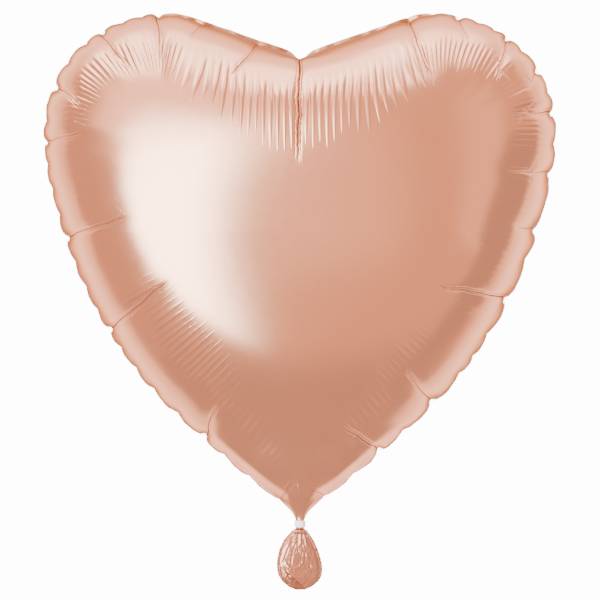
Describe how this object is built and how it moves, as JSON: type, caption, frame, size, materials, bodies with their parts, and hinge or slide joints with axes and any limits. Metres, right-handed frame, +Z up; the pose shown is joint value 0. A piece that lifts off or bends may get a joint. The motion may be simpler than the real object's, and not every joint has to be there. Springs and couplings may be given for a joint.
{
  "type": "heart-shaped foil balloon",
  "caption": "Inflated heart-shaped foil balloon with a welded rim, a gathered neck tied off with ribbon and a short filling tail.",
  "frame": {"origin": "narrowest point of the gathered neck, at the upper edge of the ribbon tie, where the balloon is held", "axes": "+Z up from the tie towards the heart's lobes, -Y out of the front of the heart, +X to the right seen from the front"},
  "size_m": [0.3892, 0.164, 0.4359],
  "materials": {
    "rose_gold_film": "satin metallised polyester film, rose gold",
    "seal_margin": "welded metallised film, crimped, rose gold",
    "clear_film": "thin clear polyethylene film",
    "white_ribbon": "white satin ribbon"
  },
  "bodies": {
    "heart": {"front_foil_panel": "rose_gold_film", "back_foil_panel": "rose_gold_film", "rim_heat_seal": "seal_margin", "valve_front_film": "clear_film", "valve_back_film": "clear_film", "valve_side_welds": "clear_film"},
    "tie": {"neck_gather": "rose_gold_film", "tie_ribbon_band": "white_ribbon", "tie_ribbon_knot": "white_ribbon"},
    "tail": {"tail_front_film": "rose_gold_film", "tail_back_film": "rose_gold_film", "tail_side_seals": "seal_margin", "valve_inlet_front_film": "clear_film", "valve_inlet_back_film": "clear_film"}
  },
  "joints": [
    {"name": "neck_bend", "type": "hinge", "parent": "heart", "child": "tie", "pos_m": [0, 0, 0], "axis": [1, 0, 0], "range_deg": [-35, 35]},
    {"name": "tail_sway", "type": "hinge", "parent": "tie", "child": "tail", "pos_m": [0, 0, -0.009], "axis": [0, 1, 0], "range_deg": [-45, 45]}
  ]
}
